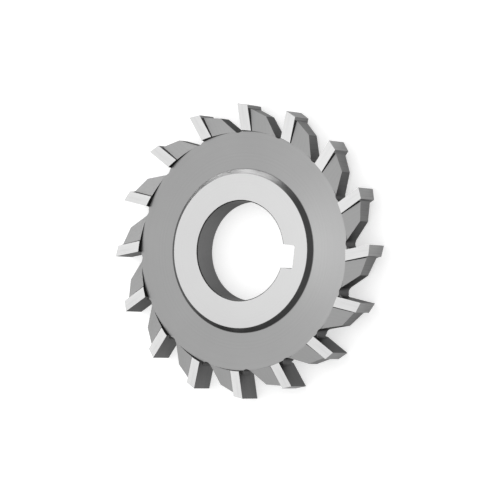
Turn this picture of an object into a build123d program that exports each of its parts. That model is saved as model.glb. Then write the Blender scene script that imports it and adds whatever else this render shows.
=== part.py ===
from build123d import *

import os
from math import acos, cos, degrees, radians, sin, tan

# Side milling cutter with straight teeth, for a keyed arbor: one piece of tool steel.
# Millimetres. The axis is +Z, the lower side rests on z = 0, and the keyway points along +X.
# Seen from above the cutter turns anticlockwise, so the back of each tooth trails it clockwise.

# The disc
cutter_diameter = 80.0
cutter_width = 8.0
bore_diameter = 27.0
bore_chamfer = 0.25
hub_wall = 7.5
hub_bevel = 1.2
web_recess = 1.3

# The keyway in the bore
keyway_width = 6.3
keyway_depth = 3.4
keyway_corner = 0.5

# The teeth, in the plane of the disc
tooth_count = 16
first_tooth_angle = 8.4
rake_angle = 7.6
land_width = 2.85
land_relief = 12.5
land_step = 0.8
back_relief = 27.5
tooth_depth = 7.95
gullet_radius = 1.5
gullet_opening = 43.5

# The teeth, on each side of the disc
side_land_length = 7.65
side_land_draft = 0.3
side_relief = 7.5
flank_step = 0.7
flank_relief = 11.0
flank_dish = 7.5

# Radii and heights that follow from those sizes
tip_radius = cutter_diameter / 2
bore_radius = bore_diameter / 2
hub_radius = bore_radius + hub_wall
web_radius = tip_radius - side_land_length
half_width = cutter_width / 2
web_half = half_width - web_recess
pitch = 360 / tooth_count


def along(point, angle, distance):
    """The point at a distance from another, in a direction in degrees from +X."""
    return (point[0] + distance * cos(radians(angle)), point[1] + distance * sin(radians(angle)))


def crossing(first, first_angle, second, second_angle):
    """The point where two lines cross, each given by one of its points and its direction."""
    ux, uy = cos(radians(first_angle)), sin(radians(first_angle))
    vx, vy = cos(radians(second_angle)), sin(radians(second_angle))
    dx, dy = second[0] - first[0], second[1] - first[1]
    return along(first, first_angle, (dx * vy - dy * vx) / (ux * vy - uy * vx))


def turned(point, angle):
    """A point turned about the axis."""
    c, s = cos(radians(angle)), sin(radians(angle))
    return (point[0] * c - point[1] * s, point[0] * s + point[1] * c)


# The model tooth stands at the top of the disc, tip up, with its back to the right.
# Its rake face runs down from the tip and leans back by the rake angle.
tip = (0.0, tip_radius)
rake_direction = rake_angle - 90

# The tip block is as thick as the land is wide, square to the rake face. Behind it the tooth is cut lower.
block_back = along(tip, 0, land_width / cos(radians(rake_angle)))
land_end = crossing(tip, -land_relief, block_back, rake_direction)
back_start = along(land_end, rake_direction, land_step)

# The next tooth stands one pitch further on. The gap between them has a round bottom, tangent to that
# tooth's rake face and to the slope that comes down from the heel of the model tooth.
next_tip = turned(tip, -pitch)
next_rake = rake_direction - pitch
gullet_slope = next_rake + gullet_opening
rake_offset = tip_radius * sin(radians(rake_angle))
centre_radius = tip_radius - tooth_depth + gullet_radius
centre_angle = rake_angle + degrees(acos((rake_offset - gullet_radius) / centre_radius))
gullet_centre = along((0, 0), centre_angle - pitch, centre_radius)
gullet_start = along(gullet_centre, gullet_slope - 90, gullet_radius)
gullet_bottom = along(gullet_centre, (next_rake + gullet_slope) / 2, gullet_radius)
rake_foot = along(gullet_centre, next_rake + 90, gullet_radius)
heel = crossing(back_start, -back_relief, gullet_start, gullet_slope)


def disc():
    """The turned blank: bevelled hub, recessed web and full-width rim, the same on both sides."""
    upper = [
        (bore_radius, half_width - bore_chamfer),
        (bore_radius + bore_chamfer, half_width),
        (hub_radius, half_width),
        (hub_radius + hub_bevel, web_half),
        (web_radius, web_half),
        (web_radius + side_land_draft, half_width),
        (tip_radius, half_width),
    ]
    lower = [(radius, -height) for radius, height in reversed(upper)]
    section = make_face(Polyline(*upper, *lower, close=True))
    return revolve(Plane.XZ * section, Axis.Z)


def keyway():
    """The slot for the arbor's key, from the axis to a floor with rounded corners."""
    length = bore_radius + keyway_depth
    slot = Pos(length / 2, 0) * Rectangle(length, keyway_width)
    slot = fillet(slot.vertices().group_by(Axis.X)[-1], keyway_corner)
    return extrude(slot, half_width, both=True)


def tooth_gap():
    """What is milled away behind the model tooth, over its land and back and up the next rake face."""
    outside = tip_radius / cos(radians(pitch / 2)) + land_width
    above_tip = (0.0, outside)
    back = Polyline(above_tip, tip, land_end, back_start, heel, gullet_start)
    bottom = ThreePointArc(gullet_start, gullet_bottom, rake_foot)
    front = Polyline(rake_foot, next_tip, turned(above_tip, -pitch), above_tip)
    return extrude(make_face([back, bottom, front]), half_width, both=True)


def side_plane(point, height, across, outwards):
    """A plane through a point on the side of the model tooth.

    It falls by the first angle away from the rake face, and by the second from the web to the rim.
    """
    ax, ay = along((0, 0), rake_angle, 1)
    ox, oy = along((0, 0), rake_angle + 90, 1)
    x_dir = Vector(ax, ay, -tan(radians(across)))
    y_dir = Vector(ox, oy, -tan(radians(outwards)))
    return Plane(origin=(*point, height), x_dir=x_dir, z_dir=x_dir.cross(y_dir))


def grinding_line(point, direction):
    """The ends of a line through a point of the rim, from outside the disc to a place within the web."""
    return [along(point, direction, -side_land_length), along(point, direction, 2 * side_land_length)]


def ground_away(front, back, plane):
    """What is ground off a side between two such lines, outside the web and above a plane."""
    region = make_face(Polyline(*front, *reversed(back), close=True)) - Circle(web_radius)
    return split(extrude(region, cutter_width), bisect_by=plane, keep=Keep.TOP)


def side_grinding():
    """The relief of the model tooth's side land, and the deeper flank behind the tip block."""
    before_tooth = grinding_line(along(tip, rake_angle, -land_width), rake_direction)
    behind_block = grinding_line(block_back, rake_direction)
    next_face = grinding_line(next_tip, next_rake)

    middle = along(block_back, rake_direction, side_land_length / 2)
    flank_height = half_width - land_width * tan(radians(side_relief)) - flank_step
    relief_plane = side_plane(tip, half_width, side_relief, 0)
    flank_plane = side_plane(middle, flank_height, flank_relief, flank_dish)

    relief = ground_away(before_tooth, behind_block, relief_plane)
    flank = ground_away(behind_block, next_face, flank_plane)
    return [relief, flank]


def milling_cutter():
    """The whole cutter, from the turned blank to the ground teeth."""
    upper = side_grinding()
    lower = [mirror(cut, Plane.XY) for cut in upper]
    tooth_cuts = [tooth_gap(), *upper, *lower]
    teeth = [Rot(0, 0, first_tooth_angle - 90 + k * pitch) for k in range(tooth_count)]
    body = disc() - keyway()
    body -= [place * cut for place in teeth for cut in tooth_cuts]
    return Pos(0, 0, half_width) * body


os.makedirs("parts", exist_ok=True)
cutter = milling_cutter()
export_step(cutter, "parts/milling_cutter.step")
print("volume in cubic centimetres:", round(cutter.volume / 1000, 2))
print("solids:", len(cutter.solids()), "valid:", cutter.is_valid)
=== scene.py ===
import logging
import math
from collections.abc import Callable
from dataclasses import dataclass, field
from enum import Enum

import bmesh
import bpy
import numpy as np
from mathutils import Matrix, Vector


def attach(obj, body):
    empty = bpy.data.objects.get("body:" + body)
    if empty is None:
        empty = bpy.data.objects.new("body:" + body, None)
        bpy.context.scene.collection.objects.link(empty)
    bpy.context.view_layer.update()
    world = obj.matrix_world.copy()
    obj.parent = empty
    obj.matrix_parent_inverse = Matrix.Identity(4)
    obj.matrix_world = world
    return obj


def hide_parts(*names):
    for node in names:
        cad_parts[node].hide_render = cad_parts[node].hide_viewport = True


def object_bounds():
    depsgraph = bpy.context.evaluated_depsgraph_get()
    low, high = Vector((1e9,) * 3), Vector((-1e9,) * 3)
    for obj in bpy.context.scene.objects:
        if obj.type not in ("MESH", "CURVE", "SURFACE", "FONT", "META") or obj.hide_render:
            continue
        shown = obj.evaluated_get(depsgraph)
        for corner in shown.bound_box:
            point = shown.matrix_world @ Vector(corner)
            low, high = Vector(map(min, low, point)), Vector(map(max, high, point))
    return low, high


# A side milling cutter: its ground and milled surfaces, a pale floor, soft light and the camera.
# The cutter's axis is +Z, its lower side lies on the floor at z = 0, and the keyway points along +X.
# Sizes of the cutter are in millimetres and degrees. Everything that Blender gets is in metres.

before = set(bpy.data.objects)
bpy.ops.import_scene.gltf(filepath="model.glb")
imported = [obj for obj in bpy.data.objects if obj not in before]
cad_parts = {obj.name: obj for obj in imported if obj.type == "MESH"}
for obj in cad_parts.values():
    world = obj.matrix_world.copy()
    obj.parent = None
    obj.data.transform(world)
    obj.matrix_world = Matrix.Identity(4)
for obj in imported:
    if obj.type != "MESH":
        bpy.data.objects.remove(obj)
SOLID_LOW, SOLID_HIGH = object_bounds()

MILLIMETRE = 0.001
NODE = "milling_cutter"
BODY = "root"

# The tool marks: how much longer than wide they are, and how fine the noise is that makes them.
GRAIN_MAP = "grain"
MARK_STRETCH = 0.04
MARK_DETAIL = 3.0

# The broad cloud that breaks the marks up, and the noise's middle and usual reach on each side of it.
CLOUDS_PER_METRE = 90.0
CLOUD_DETAIL = 2.0
CLOUD_SHARE = 0.7
NOISE_MIDDLE = 0.5
NOISE_REACH = 0.35

# Corners closer than this, in metres, are one. Edges flatter than this, in degrees, are shaded smooth.
SEWING_DISTANCE = 1e-6
SMOOTH_BELOW = 20.0

WHITE = (1.0, 1.0, 1.0, 1.0)

log = logging.getLogger("side_milling_cutter")


def grey_colour(level: float) -> tuple[float, float, float, float]:
    """Returns an opaque grey."""
    return (level, level, level, 1.0)


class Zone(Enum):
    """The surfaces of the cutter that differ in how they were made."""

    HUB_FACE = 0
    WEB = 1
    HUB_BEVEL = 2
    BORE = 3
    SIDE_LAND = 4
    FLANK = 5
    STEP = 6
    RIM_LAND = 7
    BACK = 8
    GULLET = 9
    RAKE = 10
    BORE_CHAMFER = 11


class Grain(Enum):
    """The direction that a tool left its marks in."""

    ROUND = "round the axis"
    STRAIGHT = "along the surface's own first direction"


@dataclass(frozen=True)
class SteelFinishAndPaintedShade:
    """How one kind of cut leaves bare high-speed steel.

    Grey and roughness are the middle values, and each spread is how far the marks take them to either side.
    The grazing gloss is how much of its full brightness the steel reflects at a grazing angle.
    On some zones the grey is set far below the steel's own, as painted shade.
    """

    name: str
    grey: float
    roughness: float
    grain: Grain
    marks_per_mm: float
    grey_spread: float
    roughness_spread: float
    mark_depth_mm: float
    grazing_gloss: float = 1.0

    def material(self) -> bpy.types.Material:
        """Builds the material: fine marks in grey, roughness and height.

        The height, grey and roughness follow one noise that is stretched along the marks, and a broad,
        faint cloud that breaks it up.

        Returns:
            The new material.
        """
        material = bpy.data.materials.new(self.name)
        material.use_nodes = True
        nodes, links = material.node_tree.nodes, material.node_tree.links
        shader = nodes["Principled BSDF"]
        shader.inputs["Metallic"].default_value = 1.0
        shader.inputs["Specular Tint"].default_value = grey_colour(self.grazing_gloss)

        marks = nodes.new("ShaderNodeTexNoise")
        marks.inputs["Scale"].default_value = 1.0
        marks.inputs["Detail"].default_value = MARK_DETAIL
        links.new(self._mark_coordinates(nodes, links), marks.inputs["Vector"])

        coordinates = nodes.new("ShaderNodeTexCoord")
        cloud = nodes.new("ShaderNodeTexNoise")
        cloud.inputs["Scale"].default_value = CLOUDS_PER_METRE
        cloud.inputs["Detail"].default_value = CLOUD_DETAIL
        links.new(coordinates.outputs["Object"], cloud.inputs["Vector"])
        both = nodes.new("ShaderNodeMath")
        both.operation = "MULTIPLY_ADD"
        both.inputs[1].default_value = CLOUD_SHARE
        links.new(cloud.outputs["Fac"], both.inputs[0])
        links.new(marks.outputs["Fac"], both.inputs[2])

        grey = self._spread(nodes, links, both.outputs[0], self.grey, self.grey_spread)
        combine = nodes.new("ShaderNodeCombineColor")
        for channel in ("Red", "Green", "Blue"):
            links.new(grey, combine.inputs[channel])
        links.new(combine.outputs["Color"], shader.inputs["Base Color"])
        rough = self._spread(nodes, links, both.outputs[0], self.roughness, self.roughness_spread)
        links.new(rough, shader.inputs["Roughness"])

        bump = nodes.new("ShaderNodeBump")
        bump.inputs["Strength"].default_value = 1.0
        bump.inputs["Distance"].default_value = self.mark_depth_mm * MILLIMETRE
        links.new(marks.outputs["Fac"], bump.inputs["Height"])
        links.new(bump.outputs["Normal"], shader.inputs["Normal"])
        return material

    def _mark_coordinates(self, nodes: bpy.types.Nodes, links: bpy.types.NodeLinks) -> bpy.types.NodeSocket:
        """Gives coordinates in which one step across the marks is one unit of noise.

        Round marks depend on the distance from the axis alone. Straight ones depend on the second
        coordinate of the surface, and very little on the first.

        Args:
            nodes: The material's nodes.
            links: The material's links.

        Returns:
            The socket that carries the coordinates.
        """
        if self.grain is Grain.ROUND:
            source = nodes.new("ShaderNodeTexCoord")
            flatten = nodes.new("ShaderNodeVectorMath")
            flatten.operation = "MULTIPLY"
            flatten.inputs[1].default_value = (1.0, 1.0, 0.0)
            links.new(source.outputs["Object"], flatten.inputs[0])
            radius = nodes.new("ShaderNodeVectorMath")
            radius.operation = "LENGTH"
            links.new(flatten.outputs["Vector"], radius.inputs[0])
            count = nodes.new("ShaderNodeMath")
            count.operation = "MULTIPLY"
            count.inputs[1].default_value = self.marks_per_mm / MILLIMETRE
            links.new(radius.outputs["Value"], count.inputs[0])
            place = nodes.new("ShaderNodeCombineXYZ")
            links.new(count.outputs[0], place.inputs["X"])
            return place.outputs["Vector"]
        source = nodes.new("ShaderNodeUVMap")
        source.uv_map = GRAIN_MAP
        stretch = nodes.new("ShaderNodeMapping")
        stretch.inputs["Scale"].default_value = (self.marks_per_mm * MARK_STRETCH, self.marks_per_mm, 1.0)
        links.new(source.outputs["UV"], stretch.inputs["Vector"])
        return stretch.outputs["Vector"]

    @staticmethod
    def _spread(nodes: bpy.types.Nodes, links: bpy.types.NodeLinks, noise: bpy.types.NodeSocket,
                middle: float, spread: float) -> bpy.types.NodeSocket:
        """Maps a noise onto values round a middle one.

        Args:
            nodes: The material's nodes.
            links: The material's links.
            noise: The noise, whose middle is half of one plus the cloud's share.
            middle: The value at the noise's middle.
            spread: How far the value goes from the middle over most of the noise.

        Returns:
            The socket that carries the value.
        """
        centre = NOISE_MIDDLE * (1.0 + CLOUD_SHARE)
        spread_out = nodes.new("ShaderNodeMapRange")
        spread_out.inputs["From Min"].default_value = centre - NOISE_REACH
        spread_out.inputs["From Max"].default_value = centre + NOISE_REACH
        spread_out.inputs["To Min"].default_value = middle - spread
        spread_out.inputs["To Max"].default_value = middle + spread
        links.new(noise, spread_out.inputs["Value"])
        return spread_out.outputs["Result"]


# Name, grey, roughness, grain, marks to the millimetre, spread of grey, spread of roughness, depth of the
# marks, and gloss at a grazing angle.
# Greys set far below the steel's own (bevel, bore, chamfer, steps, backs, gullets, rake faces) are painted
# shade.
FINISHES_AND_PAINTED_SHADE: dict[Zone, SteelFinishAndPaintedShade] = {
    Zone.HUB_FACE: SteelFinishAndPaintedShade("ground_hub_face", 0.555, 0.50, Grain.ROUND, 2.5, 0.025, 0.03, 0.004),
    Zone.WEB: SteelFinishAndPaintedShade("turned_web", 0.285, 0.30, Grain.ROUND, 2.2, 0.012, 0.015, 0.004),
    # Painted shade: the bevel's grey is set below the turned web's, so that its sides away from the light
    # look dark.
    Zone.HUB_BEVEL: SteelFinishAndPaintedShade("turned_bevel_painted_shade", 0.18, 0.37, Grain.ROUND, 4.0, 0.01, 0.03, 0.003),
    # Painted shade: the ground bore gets a dark grey, for the shade inside the hole.
    Zone.BORE: SteelFinishAndPaintedShade("ground_bore_painted_shade", 0.18, 0.36, Grain.STRAIGHT, 2.5, 0.016, 0.03, 0.003, 0.4),
    Zone.SIDE_LAND: SteelFinishAndPaintedShade("ground_side_land", 0.585, 0.45, Grain.STRAIGHT, 2.5, 0.055, 0.04, 0.003),
    Zone.FLANK: SteelFinishAndPaintedShade("milled_flank", 0.32, 0.50, Grain.STRAIGHT, 1.8, 0.022, 0.03, 0.006),
    # Painted shade: the steps are near black, so that they show as dark shaded lines along the lands.
    Zone.STEP: SteelFinishAndPaintedShade("milled_step_painted_shade", 0.045, 0.5, Grain.STRAIGHT, 3.0, 0.008, 0.03, 0.004),
    Zone.RIM_LAND: SteelFinishAndPaintedShade("ground_rim_land", 0.285, 0.34, Grain.STRAIGHT, 2.5, 0.06, 0.04, 0.003, 0.6),
    # Painted shade: the backs get a grey well below the milled flank's, for the shade that they face.
    Zone.BACK: SteelFinishAndPaintedShade("milled_back_painted_shade", 0.185, 0.38, Grain.STRAIGHT, 2.2, 0.032, 0.03, 0.004, 0.6),
    # Painted shade: the gullets get a grey well below the milled flank's, for the shade in these hollows.
    Zone.GULLET: SteelFinishAndPaintedShade("milled_gullet_painted_shade", 0.15, 0.42, Grain.STRAIGHT, 2.2, 0.022, 0.03, 0.005, 0.2),
    # Painted shade: the ground rake faces get a dark grey so that they look shaded.
    Zone.RAKE: SteelFinishAndPaintedShade("ground_rake_face_painted_shade", 0.155, 0.36, Grain.STRAIGHT, 2.5, 0.023, 0.03, 0.003, 0.4),
    # Painted shade: the chamfer is nearly black, so that it draws a dark shaded line round the bore.
    Zone.BORE_CHAMFER: SteelFinishAndPaintedShade("turned_chamfer_painted_shade", 0.07, 0.50, Grain.ROUND, 4.0, 0.008, 0.03, 0.003, 0.2),
}


@dataclass(frozen=True)
class CutterSizes:
    """The cutter's sizes, in millimetres and degrees, as its solid has them."""

    cutter_diameter: float = 80.0
    cutter_width: float = 8.0
    bore_diameter: float = 27.0
    bore_chamfer: float = 0.25
    hub_wall: float = 7.5
    hub_bevel: float = 1.2
    hub_edge_round: float = 0.15
    hub_foot_round: float = 0.3
    web_recess: float = 1.3
    keyway_width: float = 6.3
    keyway_depth: float = 3.4
    keyway_corner: float = 0.5
    tooth_count: int = 16
    first_tooth_angle: float = 8.4
    rake_angle: float = 7.6
    land_width: float = 2.85
    land_relief: float = 12.5
    land_step: float = 0.8
    back_relief: float = 27.5
    tooth_depth: float = 7.95
    gullet_radius: float = 1.5
    gullet_opening: float = 43.5
    side_land_length: float = 7.65
    side_land_draft: float = 0.3
    side_relief: float = 7.5
    flank_step: float = 0.7
    flank_relief: float = 11.0
    flank_dish: float = 7.5
    flank_step_lean: float = 0.26

    @property
    def tip_radius(self) -> float:
        """Distance of the tooth tips from the axis."""
        return self.cutter_diameter / 2

    @property
    def bore_radius(self) -> float:
        """Radius of the bore's wall."""
        return self.bore_diameter / 2

    @property
    def hub_radius(self) -> float:
        """Radius of the hub's face."""
        return self.bore_radius + self.hub_wall

    @property
    def web_radius(self) -> float:
        """Radius at which the web ends and the teeth begin."""
        return self.tip_radius - self.side_land_length

    @property
    def half_width(self) -> float:
        """Height of the hub faces and side cutting edges above the middle plane."""
        return self.cutter_width / 2

    @property
    def web_half(self) -> float:
        """Height of the web above the middle plane."""
        return self.half_width - self.web_recess

    @property
    def pitch(self) -> float:
        """Angle from one tooth to the next."""
        return 360 / self.tooth_count


def direction(angle: float) -> np.ndarray:
    """Returns the unit vector at an angle in degrees from +X in the plane of the disc."""
    return np.array([math.cos(math.radians(angle)), math.sin(math.radians(angle))])


def crossing(first: np.ndarray, first_angle: float, second: np.ndarray, second_angle: float) -> np.ndarray:
    """Finds where two lines cross: the first point plus the distance that solves both lines' equations.

    Args:
        first: A point of the first line.
        first_angle: That line's direction in degrees.
        second: A point of the second line.
        second_angle: That line's direction in degrees.

    Returns:
        The point where they cross.
    """
    sides = np.column_stack([direction(first_angle), -direction(second_angle)])
    distance = np.linalg.solve(sides, second - first)[0]
    return first + distance * direction(first_angle)


def turned(points: np.ndarray, angles: np.ndarray | float) -> np.ndarray:
    """Turns points about the axis.

    Each point's first two coordinates are multiplied by the rotation matrix of the angle.

    Args:
        points: Points in an array whose last axis holds two or three coordinates.
        angles: One angle in degrees, or several in an array.

    Returns:
        The turned points, with one more axis in front if there are several angles.
    """
    turns = np.radians(np.asarray(angles, float))
    cos, sin = np.cos(turns), np.sin(turns)
    if turns.ndim:
        shape = (-1,) + (1,) * (points.ndim - 1)
        cos, sin = cos.reshape(shape), sin.reshape(shape)
        points = np.broadcast_to(points, (len(turns), *points.shape))
    result = points.copy()
    result[..., 0] = points[..., 0] * cos - points[..., 1] * sin
    result[..., 1] = points[..., 0] * sin + points[..., 1] * cos
    return result


def at_height(points: np.ndarray, heights: np.ndarray | float) -> np.ndarray:
    """Gives points of the plane a height: (x, y) becomes (x, y, height)."""
    return np.column_stack([points, np.broadcast_to(heights, len(points))])


def below(points: np.ndarray) -> np.ndarray:
    """Mirrors points in the middle plane: (x, y, z) becomes (x, y, -z)."""
    return points * np.array([1.0, 1.0, -1.0])


def ring_of(radius: float, angles: np.ndarray, height: float) -> np.ndarray:
    """Places points on a circle round the axis: radius times cosine and sine, at one height."""
    return at_height(radius * np.column_stack([np.cos(angles), np.sin(angles)]), height)


@dataclass(frozen=True)
class ToothOutline:
    """One tooth and the gap behind it, in the plane of the disc: tip on +Y, back to the right."""

    sizes: CutterSizes
    arc_cells: int = 14
    land_cells: int = 5
    flank_cells: int = 10
    fillet_cells: int = 2

    @property
    def rake_direction(self) -> float:
        """Direction of the rake face from the tip inwards."""
        return self.sizes.rake_angle - 90

    @property
    def tip(self) -> np.ndarray:
        """The cutting edge."""
        return np.array([0.0, self.sizes.tip_radius])

    @property
    def block_back(self) -> np.ndarray:
        """The point behind the tip where the back of the tip block would meet the tip's own level."""
        across = self.sizes.land_width / math.cos(math.radians(self.sizes.rake_angle))
        return self.tip + across * direction(0)

    @property
    def land_end(self) -> np.ndarray:
        """The end of the land on the circumference."""
        return crossing(self.tip, -self.sizes.land_relief, self.block_back, self.rake_direction)

    @property
    def back_start(self) -> np.ndarray:
        """The foot of the step behind the land."""
        return self.land_end + self.sizes.land_step * direction(self.rake_direction)

    @property
    def next_tip(self) -> np.ndarray:
        """The cutting edge of the tooth behind this one."""
        return turned(self.tip, -self.sizes.pitch)

    @property
    def next_rake(self) -> float:
        """Direction of that tooth's rake face."""
        return self.rake_direction - self.sizes.pitch

    @property
    def gullet_slope(self) -> float:
        """Direction of the slope from the heel down into the gullet."""
        return self.next_rake + self.sizes.gullet_opening

    @property
    def gullet_centre(self) -> np.ndarray:
        """Centre of the gullet's round bottom, one gullet radius in front of the next rake face.

        Returns:
            The centre, in the plane of the disc.
        """
        s = self.sizes
        radius = s.tip_radius - s.tooth_depth + s.gullet_radius
        offset = s.tip_radius * math.sin(math.radians(s.rake_angle)) - s.gullet_radius
        return radius * direction(s.rake_angle + math.degrees(math.acos(offset / radius)) - s.pitch)

    @property
    def gullet_start(self) -> np.ndarray:
        """Where the slope meets the round bottom."""
        return self.gullet_centre + self.sizes.gullet_radius * direction(self.gullet_slope - 90)

    @property
    def heel(self) -> np.ndarray:
        """The corner between the tooth's back and the slope."""
        return crossing(self.back_start, -self.sizes.back_relief, self.gullet_start, self.gullet_slope)

    def web_angle(self, offset: float) -> float:
        """Gives where a line beside the rake face meets the web's circle.

        The rake face passes the axis at the tip radius times the sine of the rake angle. A parallel line that
        lies further back by an offset meets a circle at the arcsine of their sum over its radius, less the
        rake angle.

        Args:
            offset: Distance of the line behind the rake face.

        Returns:
            The angle behind the tip, in degrees.
        """
        s = self.sizes
        reach = s.tip_radius * math.sin(math.radians(s.rake_angle)) + offset
        return math.degrees(math.asin(reach / s.web_radius)) - s.rake_angle

    def arc(self) -> np.ndarray:
        """Works out the gullet's round bottom: its centre plus the radius, over the arc's angles.

        The arc starts at the slope and ends at the next rake face. It has a point on each side where it
        passes the web's circle, found from the triangle of the two centres.

        Returns:
            The arc's points.
        """
        s = self.sizes
        centre = self.gullet_centre
        distance = float(np.hypot(*centre))
        towards_axis = math.degrees(math.atan2(-centre[1], -centre[0])) % 360
        cosine = (distance**2 + s.gullet_radius**2 - s.web_radius**2) / (2 * distance * s.gullet_radius)
        half = math.degrees(math.acos(cosine))
        start = (self.gullet_slope - 90) % 360
        end = (self.next_rake + 90) % 360
        end = end + 360 if end < start else end
        enter, leave = towards_axis - half, towards_axis + half
        counts = np.array([1, self.arc_cells, self.arc_cells])
        stops = np.array([start, enter, leave, end])
        pieces = [np.linspace(stops[i], stops[i + 1], counts[i] + 1)[:-1] for i in range(3)]
        angles = np.radians(np.concatenate([*pieces, stops[-1:]]))
        return centre + s.gullet_radius * np.column_stack([np.cos(angles), np.sin(angles)])


@dataclass
class Shell:
    """Faces that are gathered as arrays of corners and then sewn into one closed mesh."""

    corners: list[np.ndarray] = field(default_factory=list)
    grains: list[np.ndarray] = field(default_factory=list)
    zones: list[np.ndarray] = field(default_factory=list)

    def add(self, faces: np.ndarray, grain: np.ndarray, zone: Zone) -> None:
        """Adds faces that have equally many corners.

        Args:
            faces: Corners in millimetres, as an array of faces, corners and three coordinates.
            grain: The surface's own coordinates at those corners, in millimetres.
            zone: The surface that they belong to.
        """
        self.corners.append(faces)
        self.grains.append(np.broadcast_to(grain, (*faces.shape[:2], 2)))
        self.zones.append(np.full(len(faces), zone.value))

    def add_both_sides(self, faces: np.ndarray, grain: np.ndarray, zone: Zone) -> None:
        """Adds faces of the upper side, and their mirror image with its corners in reverse order.

        Args:
            faces: Corners in millimetres, as an array of faces, corners and three coordinates.
            grain: The surface's own coordinates at those corners, in millimetres.
            zone: The surface that they belong to.
        """
        self.add(faces, grain, zone)
        grain = np.broadcast_to(grain, (*faces.shape[:2], 2))
        self.add(below(faces)[:, ::-1], grain[:, ::-1], zone)

    def mesh(self, name: str, height: float) -> bpy.types.Mesh:
        """Makes one mesh of all the faces and merges their common corners.

        Args:
            name: The mesh's name.
            height: How far the middle plane lies above the floor, in millimetres.

        Returns:
            The mesh, in metres, with its grain map and its zones as material numbers.
        """
        sizes = np.concatenate([np.full(len(faces), faces.shape[1]) for faces in self.corners])
        points = np.concatenate([faces.reshape(-1, 3) for faces in self.corners])
        grain = np.concatenate([grains.reshape(-1, 2) for grains in self.grains])
        ends = np.cumsum(sizes)
        loops = np.split(np.arange(len(points)), ends[:-1])
        mesh = bpy.data.meshes.new(name)
        mesh.from_pydata((points + np.array([0.0, 0.0, height])) * MILLIMETRE, [], loops)
        mesh.polygons.foreach_set("material_index", np.concatenate(self.zones).astype(np.int32))
        mesh.uv_layers.new(name=GRAIN_MAP).data.foreach_set("uv", grain.astype(np.float32).ravel())
        sewn = bmesh.new()
        sewn.from_mesh(mesh)
        bmesh.ops.remove_doubles(sewn, verts=sewn.verts, dist=SEWING_DISTANCE)
        sewn.to_mesh(mesh)
        sewn.free()
        mesh.shade_smooth()
        mesh.set_sharp_from_angle(angle=math.radians(SMOOTH_BELOW))
        return mesh


def closed_cells(inner: np.ndarray, outer: np.ndarray) -> np.ndarray:
    """Spans two rings of equally many points with four-cornered faces.

    Each face takes a point of the inner ring, the same of the outer, and the next of both.

    Args:
        inner: Points of the inner ring, anticlockwise.
        outer: Points of the outer ring, anticlockwise.

    Returns:
        The faces' corners.
    """
    return np.stack([inner, outer, np.roll(outer, -1, axis=0), np.roll(inner, -1, axis=0)], axis=1)


def open_cells(bottom: np.ndarray, top: np.ndarray) -> np.ndarray:
    """Spans two rows of points with four-cornered faces: bottom, next bottom, next top, top."""
    return np.stack([bottom[:-1], bottom[1:], top[1:], top[:-1]], axis=1)


def zipped(inner: np.ndarray, outer: np.ndarray) -> np.ndarray:
    """Spans two rings of different numbers of points with triangles.

    Both rings are walked by angle. Each step of one ring makes a triangle with the last point that was
    passed on the other.

    Args:
        inner: Points of the inner ring, in order of their angle.
        outer: Points of the outer ring, in order of their angle.

    Returns:
        The triangles' corners.
    """
    inner_angle = np.arctan2(inner[:, 1], inner[:, 0])
    outer_angle = np.arctan2(outer[:, 1], outer[:, 0])
    next_inner = np.append(inner_angle[1:], inner_angle[0] + 2 * np.pi)
    next_outer = np.append(outer_angle[1:], outer_angle[0] + 2 * np.pi)
    inner_twice = np.append(inner_angle, inner_angle + 2 * np.pi)
    outer_twice = np.append(outer_angle, outer_angle + 2 * np.pi)
    at_inner = (np.searchsorted(inner_twice, next_outer, side="left") - 1) % len(inner)
    at_outer = (np.searchsorted(outer_twice, next_inner, side="right") - 1) % len(outer)
    wide = np.stack([outer, np.roll(outer, -1, axis=0), inner[at_inner]], axis=1)
    narrow = np.stack([np.roll(inner, -1, axis=0), inner, outer[at_outer]], axis=1)
    return np.concatenate([wide, narrow])


def by_angle(points: np.ndarray) -> np.ndarray:
    """Sorts points anticlockwise round the axis, from minus 180 degrees."""
    return points[np.argsort(np.arctan2(points[:, 1], points[:, 0]))]


def rounded(corner: np.ndarray, before: np.ndarray, after: np.ndarray, radius: float,
            cells: int) -> np.ndarray:
    """Rounds the corner of a profile.

    The arc's centre lies on the corner's bisector, at the radius over the sine of half the corner's angle,
    and its points are that centre plus the radius along directions turned evenly from one side to the other.

    Args:
        corner: The sharp corner, as radius and height.
        before: The profile's point before it.
        after: The profile's point after it.
        radius: The arc's radius.
        cells: How many pieces the arc gets.

    Returns:
        The arc's points, from one side to the other.
    """
    back = (before - corner) / np.linalg.norm(before - corner)
    on = (after - corner) / np.linalg.norm(after - corner)
    half = math.acos(float(back @ on)) / 2
    reach = radius / math.tan(half)
    centre = corner + (back + on) / np.linalg.norm(back + on) * radius / math.sin(half)
    first, last = corner + back * reach - centre, corner + on * reach - centre
    start = math.atan2(first[1], first[0])
    turn = (math.atan2(last[1], last[0]) - start + math.pi) % (2 * math.pi) - math.pi
    angles = start + turn * np.linspace(0, 1, cells + 1)
    return centre + radius * np.column_stack([np.cos(angles), np.sin(angles)])


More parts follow.
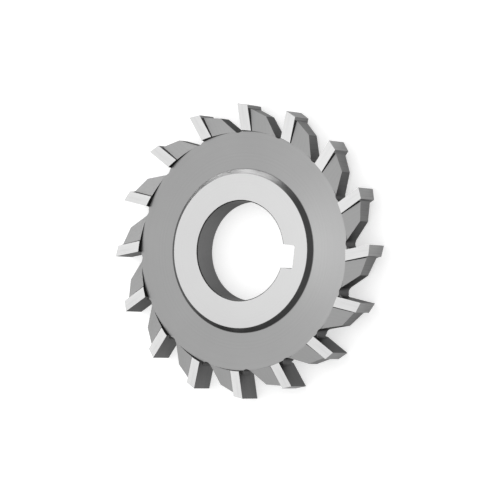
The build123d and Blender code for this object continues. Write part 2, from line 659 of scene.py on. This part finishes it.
@dataclass
class ToothRing:
    """The teeth: tip blocks, backs, flanks and gullets, worked out once and turned to every pitch."""

    sizes: CutterSizes
    outline: ToothOutline = field(init=False)

    def __post_init__(self) -> None:
        """Works out the outline from the sizes."""
        self.outline = ToothOutline(self.sizes)

    @property
    def places(self) -> np.ndarray:
        """Angles that turn the tooth on +Y to each tooth's place."""
        s = self.sizes
        return s.first_tooth_angle - 90 + s.pitch * np.arange(s.tooth_count)

    def circle(self, start: float, end: float, cells: int, radius: np.ndarray | float) -> np.ndarray:
        """Places points on a circle between two angles behind the tip: radius times sine and cosine.

        Args:
            start: The first angle behind the tip, in degrees.
            end: The last one.
            cells: How many pieces lie between them.
            radius: The circle's radius, or one for each point.

        Returns:
            The points.
        """
        angles = np.radians(np.linspace(start, end, cells + 1))
        return (radius * np.stack([np.sin(angles), np.cos(angles)])).T

    def relief_height(self, points: np.ndarray) -> np.ndarray:
        """Works out the side land: half the width, less the tangent of the relief times the way back.

        Args:
            points: Points in the plane of the disc.

        Returns:
            The height above the middle plane at each point.
        """
        s = self.sizes
        behind = (points - self.outline.tip) @ direction(s.rake_angle)
        return s.half_width - np.tan(np.radians(s.side_relief)) * behind

    def flank_height(self, points: np.ndarray) -> np.ndarray:
        """Works out the flank.

        It is a plane through the middle of the tip block's back, lower than the side land by the flank step.
        It falls by one angle away from the rake face and by another towards the rim.

        Args:
            points: Points in the plane of the disc.

        Returns:
            The height above the middle plane at each point.
        """
        s, o = self.sizes, self.outline
        middle = o.block_back + direction(o.rake_direction) * s.side_land_length / 2
        start = s.half_width - s.land_width * math.tan(math.radians(s.side_relief)) - s.flank_step
        behind = (points - middle) @ direction(s.rake_angle)
        outwards = (points - middle) @ direction(s.rake_angle + 90)
        fall = math.tan(math.radians(s.flank_relief)), math.tan(math.radians(s.flank_dish))
        return start - fall[0] * behind - fall[1] * outwards

    def wall_top(self, start: float, end: float, cells: int,
                 height_of: Callable[[np.ndarray], np.ndarray]) -> np.ndarray:
        """Finds the upper edge of the wall round the web, where a side surface meets its draft.

        The wall leans outwards by the draft over the web's recess, so a point's radius is the web's radius
        plus the draft times its height above the web, and never less than the web's radius.

        Args:
            start: Angle behind the tip at which the edge starts, on the web's circle.
            end: Angle at which it ends.
            cells: How many pieces the edge gets.
            height_of: The function that gives the side surface's height.

        Returns:
            The edge's points.
        """
        s = self.sizes
        foot = self.circle(start, end, cells, s.web_radius)
        heights = height_of(foot)
        lean = s.side_land_draft / s.web_recess
        radius = s.web_radius + lean * np.clip(heights - s.web_half, 0, None)
        edge = self.circle(start, end, cells, radius)
        return at_height(edge, heights)

    def side_grain(self, points: np.ndarray) -> np.ndarray:
        """Returns coordinates along and across the rake face, so that marks run along the tooth."""
        along, across = direction(self.outline.rake_direction), direction(self.sizes.rake_angle)
        return points[..., :2] @ np.column_stack([along, across])

    def wall(self, path: np.ndarray, heights: np.ndarray) -> tuple[np.ndarray, np.ndarray]:
        """Stands a wall on a path through the middle plane, as high above it as below.

        Each face takes the lower and upper ends of one point, then the upper and lower of the next.

        Args:
            path: Points of the path in the plane, with the cutter on its right.
            heights: The wall's height at each point.

        Returns:
            The faces' corners, and their grain, which runs along the axis.
        """
        upper = at_height(path, heights)
        lower = below(upper)
        faces = np.stack([lower[:-1], upper[:-1], upper[1:], lower[1:]], axis=1)
        run = np.append(0.0, np.cumsum(np.linalg.norm(np.diff(path, axis=0), axis=1)))
        runs = np.stack([run[:-1], run[:-1], run[1:], run[1:]], axis=1)
        return faces, np.stack([faces[..., 2], runs], axis=-1)

    def web_edge(self) -> np.ndarray:
        """Works out the web's edge: its circle, with the gullets' bottoms cut into it.

        Returns:
            The edge's points, anticlockwise.
        """
        path = np.concatenate([
            self.land_foot, self.flank_foot[:-1], self.round_bottom[:-1], self.fillet_foot[:-1],
        ])
        return by_angle(turned(path, self.places).reshape(-1, 2))

    @property
    def land_foot(self) -> np.ndarray:
        """The web's circle from the rake face to the back of the tip block."""
        s, o = self.sizes, self.outline
        return self.circle(o.web_angle(0), o.web_angle(s.land_width), o.land_cells, s.web_radius)

    @property
    def flank_foot(self) -> np.ndarray:
        """The web's circle from the foot of the step behind the tip block to the gullet.

        Returns:
            Points of the circle.
        """
        s, o = self.sizes, self.outline
        end = self.round_bottom[0]
        behind = math.degrees(math.atan2(end[0], end[1]))
        return self.circle(o.web_angle(s.land_width + s.flank_step_lean), behind, o.flank_cells, s.web_radius)

    @property
    def round_bottom(self) -> np.ndarray:
        """The part of the gullet's arc that lies within the web's circle."""
        return self.outline.arc()[1:self.outline.arc_cells + 2]

    @property
    def fillet_foot(self) -> np.ndarray:
        """The web's circle from the gullet to the next rake face.

        Returns:
            Points of the circle.
        """
        start = self.round_bottom[-1]
        behind = math.degrees(math.atan2(start[0], start[1]))
        end = self.outline.web_angle(0) + self.sizes.pitch
        return self.circle(behind, end, self.outline.fillet_cells, self.sizes.web_radius)

    @property
    def step_foot(self) -> np.ndarray:
        """The outer end of the step's foot, where it meets the tooth's back.

        Returns:
            The point, in the plane of the disc.
        """
        s, o = self.sizes, self.outline
        beside = o.back_start + s.flank_step_lean * direction(s.rake_angle)
        return crossing(o.back_start, -s.back_relief, beside, o.rake_direction)

    def build(self, shell: Shell) -> None:
        """Adds every tooth's side lands, flanks, walls and faces.

        Args:
            shell: The shell that takes the faces.
        """
        self._add_sides(shell)
        self._add_steps(shell)
        self._add_rim(shell)
        self._add_gullet(shell)

    def _place(self, shell: Shell, faces: np.ndarray, grain: np.ndarray, zone: Zone, mirrored: bool) -> None:
        """Turns one tooth's faces to every place and adds them.

        Args:
            shell: The shell that takes the faces.
            faces: The corners of one tooth's faces.
            grain: The surface's own coordinates at those corners.
            zone: The surface that they belong to.
            mirrored: Whether their mirror image on the lower side is added too.
        """
        placed = turned(faces, self.places).reshape(-1, *faces.shape[1:])
        grains = np.tile(np.broadcast_to(grain, (*faces.shape[:2], 2)), (self.sizes.tooth_count, 1, 1))
        add = shell.add_both_sides if mirrored else shell.add
        add(placed, grains, zone)

    def _add_sides(self, shell: Shell) -> None:
        """Adds the side land, the flank and the piece of the flank that lies in the next tooth's fillet.

        Args:
            shell: The shell that takes the faces.
        """
        s, o = self.sizes, self.outline
        land_edge, flank_edge, fillet_edge = self._side_edges()
        land_points = np.stack([o.tip, o.land_end, o.back_start])
        tip, land_end, land_back = at_height(land_points, self.relief_height(land_points))
        land = np.concatenate([[tip], land_edge, [land_back, land_end]])
        arc = o.arc()
        flank_points = np.stack([arc[0], o.heel, self.step_foot])
        flank = np.concatenate([flank_edge, at_height(flank_points, self.flank_height(flank_points))])
        fillet_points = arc[:o.arc_cells + 1:-1]
        fillet = np.concatenate([fillet_edge, at_height(fillet_points, self.flank_height(fillet_points))])
        for face, zone in ((land, Zone.SIDE_LAND), (flank, Zone.FLANK), (fillet, Zone.FLANK)):
            self._place(shell, face[np.newaxis], self.side_grain(face)[np.newaxis], zone, True)

    def _side_edges(self) -> tuple[np.ndarray, np.ndarray, np.ndarray]:
        """Works out where the sides of a tooth meet the wall round the web.

        Returns:
            The inner edges of the side land, of the flank and of the flank's piece in the fillet.
        """
        s, o = self.sizes, self.outline
        gullet = self.round_bottom
        enter, leave = (math.degrees(math.atan2(x, y)) for x, y in (gullet[0], gullet[-1]))
        block, step = o.web_angle(s.land_width), o.web_angle(s.land_width + s.flank_step_lean)
        land = self.wall_top(o.web_angle(0), block, o.land_cells, self.relief_height)
        flank = self.wall_top(step, enter, o.flank_cells, self.flank_height)
        fillet = self.wall_top(leave, o.web_angle(0) + s.pitch, o.fillet_cells, self.flank_height)
        return land, flank, fillet

    def _add_steps(self, shell: Shell) -> None:
        """Adds the walls between the web and the sides of the teeth, and the back of the tip block.

        Args:
            shell: The shell that takes the faces.
        """
        s, o = self.sizes, self.outline
        land_edge, flank_edge, fillet_edge = self._side_edges()
        feet = [at_height(foot, s.web_half) for foot in (self.land_foot, self.flank_foot, self.fillet_foot)]
        beside_step = np.stack([feet[0][-1], feet[1][0], flank_edge[0], land_edge[-1]])[np.newaxis]
        pieces = [open_cells(feet[0], land_edge), beside_step, open_cells(feet[1], flank_edge),
                  open_cells(feet[2], fillet_edge)]
        for faces in pieces:
            self._place(shell, faces, faces[..., [0, 2]], Zone.STEP, True)

        ends = np.stack([o.land_end, o.back_start])
        block, grain = self.wall(ends, self.relief_height(ends))
        self._place(shell, block, grain, Zone.BACK, False)
        foot = self.step_foot[np.newaxis]
        foot = at_height(foot, self.flank_height(foot))[0]
        step = np.stack([block[0, 2], land_edge[-1], flank_edge[0], foot])[np.newaxis]
        self._place(shell, step, self.side_grain(step), Zone.STEP, True)

    def _add_rim(self, shell: Shell) -> None:
        """Adds the land on the circumference, the back behind it and the slope into the gullet.

        Args:
            shell: The shell that takes the faces.
        """
        o = self.outline
        land = np.stack([o.tip, o.land_end])
        self._place(shell, *self.wall(land, self.relief_height(land)), Zone.RIM_LAND, False)
        back = np.stack([o.back_start, self.step_foot, o.heel])
        heights = self.flank_height(back)
        heights[0] = self.relief_height(back[:1])[0]
        self._place(shell, *self.wall(back, heights), Zone.BACK, False)
        slope = np.stack([o.heel, o.arc()[0]])
        self._place(shell, *self.wall(slope, self.flank_height(slope)), Zone.GULLET, False)

    def _add_gullet(self, shell: Shell) -> None:
        """Adds the gullet's round bottom and the next tooth's rake face.

        The bottom is as high as the flank outside the web's circle and as high as the web within it, so the
        faces at the two crossings have both heights.

        Args:
            shell: The shell that takes the faces.
        """
        s, o = self.sizes, self.outline
        arc = o.arc()
        count = o.arc_cells
        parts = [(arc[:2], None), (arc[1:count + 2], s.web_half), (arc[count + 1:], None)]
        for path, height in parts:
            heights = self.flank_height(path) if height is None else np.full(len(path), height)
            faces, grain = self.wall(path, heights)
            if height is None:
                self._place(shell, faces, grain, Zone.GULLET, False)
                continue
            crossings = self.flank_height(path[[0, -1]])
            extra = [at_height(path[[end, end]], [-high, high]) for end, high in zip((0, -1), crossings)]
            first = np.insert(faces[0], 1, extra[0], axis=0)[np.newaxis]
            final = np.insert(faces[-1], 3, extra[1][::-1], axis=0)[np.newaxis]
            self._place(shell, faces[1:-1], grain[1:-1], Zone.GULLET, False)
            for face, run in ((first, grain[0, 0, 1]), (final, grain[-1, -1, 1])):
                flat = np.stack([face[..., 2], np.full(face.shape[:2], run)], axis=-1)
                self._place(shell, face, flat, Zone.GULLET, False)

        land_edge, _, fillet_edge = self._side_edges()
        next_land = turned(np.stack([land_edge[0], at_height(self.land_foot[:1], s.web_half)[0]]), -s.pitch)
        foot = at_height(arc[-1:], self.flank_height(arc[-1:]))
        tip = at_height(o.next_tip[np.newaxis], s.half_width)
        upper = np.concatenate([foot, fillet_edge[-1:], next_land[::-1], tip])
        rake = np.concatenate([below(upper)[::-1], upper])[np.newaxis]
        along = rake[..., :2] @ direction(o.next_rake)
        self._place(shell, rake, np.stack([along, rake[..., 2]], axis=-1), Zone.RAKE, False)


@dataclass
class HubAndWeb:
    """The bore with its keyway, the hub faces and the web, as rings of points round the axis."""

    sizes: CutterSizes
    bore_cells: int = 240
    corner_cells: int = 5
    round_cells: int = 4

    def keyway(self) -> np.ndarray:
        """Works out the keyway: straight sides, and a floor whose two corners are rounded.

        Returns:
            Its outline in the plane, anticlockwise, between the ends of the bore's chamfer.
        """
        s = self.sizes
        half = s.keyway_width / 2
        mouth = math.sqrt((s.bore_radius + s.bore_chamfer) ** 2 - half**2)
        floor = s.bore_radius + s.keyway_depth
        lower = rounded(np.array([floor, -half]), np.array([mouth, -half]), np.array([floor, 0.0]),
                        s.keyway_corner, self.corner_cells)
        upper = lower[::-1] * np.array([1.0, -1.0])
        return np.concatenate([[[mouth, -half]], lower, upper, [[mouth, half]]])

    def build(self, shell: Shell, web_edge: np.ndarray) -> None:
        """Adds the bore, its chamfers, the keyway, the hub and the web to the shell.

        Args:
            shell: The shell that takes the faces.
            web_edge: The web's edge in the plane, anticlockwise.
        """
        s = self.sizes
        mouth_angle = math.asin(s.keyway_width / 2 / s.bore_radius)
        angles = np.linspace(mouth_angle, 2 * np.pi - mouth_angle, self.bore_cells + 1)
        keyway = at_height(self.keyway(), s.half_width)
        wall_top = np.concatenate([ring_of(s.bore_radius, angles, s.half_width - s.bore_chamfer), keyway])
        face_edge = np.concatenate([ring_of(s.bore_radius + s.bore_chamfer, angles, s.half_width), keyway])
        self._add_bore(shell, wall_top, face_edge)

        rings = np.arctan2(web_edge[:, 1], web_edge[:, 0])
        profile = self._hub_profile()
        hub_edge = ring_of(profile[0, 0], rings, profile[0, 1])
        face = zipped(by_angle(face_edge), hub_edge)
        shell.add_both_sides(face, face[..., :2], Zone.HUB_FACE)
        for (near, high), (far, low) in zip(profile[:-1], profile[1:]):
            cells = closed_cells(ring_of(near, rings, high), ring_of(far, rings, low))
            shell.add_both_sides(cells, cells[..., :2], Zone.HUB_BEVEL)
        web = closed_cells(ring_of(profile[-1, 0], rings, profile[-1, 1]), at_height(web_edge, s.web_half))
        shell.add_both_sides(web, web[..., :2], Zone.WEB)

    def _add_bore(self, shell: Shell, wall_top: np.ndarray, face_edge: np.ndarray) -> None:
        """Adds the bore's wall, the keyway's walls and the two chamfers.

        Args:
            shell: The shell that takes the faces.
            wall_top: The upper edge of the wall, anticlockwise: the bore's, then the keyway's.
            face_edge: The inner edge of the hub face, with the same number of points.
        """
        wall = closed_cells(below(wall_top), wall_top)[:, [3, 0, 1, 2]]
        run = np.append(0.0, np.cumsum(np.linalg.norm(np.diff(wall_top, axis=0), axis=1)))
        ends = np.append(run[1:], run[-1])
        grain = np.stack([np.stack([ends, run, run, ends], axis=1), wall[..., 2]], axis=-1)
        shell.add(wall, grain, Zone.BORE)
        chamfer = closed_cells(wall_top, face_edge)
        chamfer = np.roll(chamfer, 1, axis=0)[:self.bore_cells + 2]
        shell.add_both_sides(chamfer, chamfer[..., :2], Zone.BORE_CHAMFER)

    def _hub_profile(self) -> np.ndarray:
        """Works out the bevel's profile, with its top and foot rounded.

        Returns:
            Radius and height of its points, from the hub's face to the web.
        """
        s = self.sizes
        edge = np.array([s.hub_radius, s.half_width])
        foot = np.array([s.hub_radius + s.hub_bevel, s.web_half])
        inwards = np.array([s.bore_radius, s.half_width])
        outwards = np.array([s.web_radius, s.web_half])
        return np.concatenate([
            rounded(edge, inwards, foot, s.hub_edge_round, self.round_cells),
            rounded(foot, edge, outwards, s.hub_foot_round, self.round_cells),
        ])


@dataclass
class MillingCutter:
    """The whole cutter: one closed surface that stands for the solid, with a finish on each zone."""

    sizes: CutterSizes = field(default_factory=CutterSizes)

    def build(self) -> bpy.types.Object:
        """Builds the surface, dresses it, and puts it in place of the solid.

        Returns:
            The new object.
        """
        shell = Shell()
        teeth = ToothRing(self.sizes)
        teeth.build(shell)
        HubAndWeb(self.sizes).build(shell, teeth.web_edge())
        mesh = shell.mesh("milling_cutter_surface", self.sizes.half_width)
        # Several of these materials carry painted shade: greys set far below the steel's own.
        for zone in Zone:
            mesh.materials.append(FINISHES_AND_PAINTED_SHADE[zone].material())
        cutter = bpy.data.objects.new("milling_cutter_surface", mesh)
        bpy.context.scene.collection.objects.link(cutter)
        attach(cutter, BODY)
        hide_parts(NODE)
        log.info("%s: %d faces", cutter.name, len(mesh.polygons))
        return cutter


@dataclass(frozen=True)
class SoftLight:
    """A rectangular area light that faces the middle of the cutter."""

    name: str
    towards: tuple[float, float, float]
    distance: float
    width: float
    height: float
    brightness: float

    def build(self, target: Vector) -> None:
        """Places the light. Its power in watts is its brightness times pi times its area.

        Args:
            target: The point that it faces.
        """
        data = bpy.data.lights.new(self.name, "AREA")
        data.shape = "RECTANGLE"
        data.size, data.size_y = self.width, self.height
        data.energy = self.brightness * math.pi * self.width * self.height
        light = bpy.data.objects.new(self.name, data)
        back = Vector(self.towards).normalized()
        light.location = target + back * self.distance
        light.rotation_mode = "QUATERNION"
        light.rotation_quaternion = back.to_track_quat("Z", "Y")
        bpy.context.scene.collection.objects.link(light)


@dataclass
class Studio:
    """The pale floor, the light and the camera, in metres.

    The floor lies a hair below the cutter, so that the two don't share a plane.
    """

    floor_side: float = 6.0
    floor_grey: float = 0.68
    floor_roughness: float = 0.9
    floor_glow: float = 0.54
    floor_gap: float = 0.00002
    sky: float = 0.17
    camera_place: tuple[float, float, float] = (0.482256, 0.026113, 0.809379)
    camera_right: tuple[float, float, float] = (0.851775, 0.108021, -0.512651)
    camera_up: tuple[float, float, float] = (-0.106735, 0.993771, 0.032058)
    lens: float = 249.283
    sensor: float = 36.0
    nearest: float = 0.01
    farthest: float = 20.0
    lights: tuple[SoftLight, ...] = (
        SoftLight("key_light", (-0.24, 0.0, 0.97), distance=0.8, width=1.7, height=2.3, brightness=1.1),
        SoftLight("near_light", (-0.18, 0.03, 1.0), distance=0.155, width=0.04, height=0.04, brightness=1.8),
        SoftLight("left_light", (-1.0, 0.1, 0.42), distance=1.1, width=1.6, height=0.7, brightness=0.4),
        SoftLight("top_light", (-0.7, 1.0, 0.1), distance=1.0, width=1.4, height=0.22, brightness=8.4),
    )

    def build(self) -> None:
        """Sets up the floor, the light and the camera."""
        self._floor()
        middle = (SOLID_LOW + SOLID_HIGH) / 2
        for light in self.lights:
            light.build(middle)
        world = bpy.data.worlds.new("studio_sky")
        world.use_nodes = True
        background = world.node_tree.nodes["Background"]
        background.inputs["Color"].default_value = WHITE
        background.inputs["Strength"].default_value = self.sky
        bpy.context.scene.world = world
        bpy.context.scene.view_settings.view_transform = "Standard"
        self._camera()
        log.info("studio: floor, %d lights, sky and camera", len(self.lights))

    def _floor(self) -> None:
        """Adds a large square floor under the cutter that glows a little, as a lit table does."""
        half = self.floor_side / 2
        level = SOLID_LOW.z - self.floor_gap
        corners = [(-half, -half, level), (half, -half, level), (half, half, level), (-half, half, level)]
        mesh = bpy.data.meshes.new("floor")
        mesh.from_pydata(corners, [], [(0, 1, 2, 3)])
        material = bpy.data.materials.new("pale_floor")
        material.use_nodes = True
        shader = material.node_tree.nodes["Principled BSDF"]
        shader.inputs["Base Color"].default_value = grey_colour(self.floor_grey)
        shader.inputs["Roughness"].default_value = self.floor_roughness
        shader.inputs["Specular IOR Level"].default_value = 0.0
        shader.inputs["Emission Color"].default_value = WHITE
        shader.inputs["Emission Strength"].default_value = self.floor_glow
        mesh.materials.append(material)
        floor = bpy.data.objects.new("floor", mesh)
        bpy.context.scene.collection.objects.link(floor)

    def _camera(self) -> None:
        """Sets the camera where the photograph was taken from, with the photograph's framing."""
        data = bpy.data.cameras.new("camera")
        data.lens = self.lens
        data.sensor_width = self.sensor
        data.clip_start, data.clip_end = self.nearest, self.farthest
        camera = bpy.data.objects.new("camera", data)
        right, up = Vector(self.camera_right), Vector(self.camera_up)
        columns = [right, up, right.cross(up)]
        turn = Matrix(columns).transposed()
        camera.matrix_world = Matrix.Translation(Vector(self.camera_place)) @ turn.to_4x4()
        bpy.context.scene.collection.objects.link(camera)
        bpy.context.scene.camera = camera


def main() -> None:
    """Builds the cutter and the studio."""
    logging.basicConfig(level=logging.INFO, format="%(name)s: %(message)s")
    MillingCutter().build()
    Studio().build()


if __name__ == "__main__":
    main()
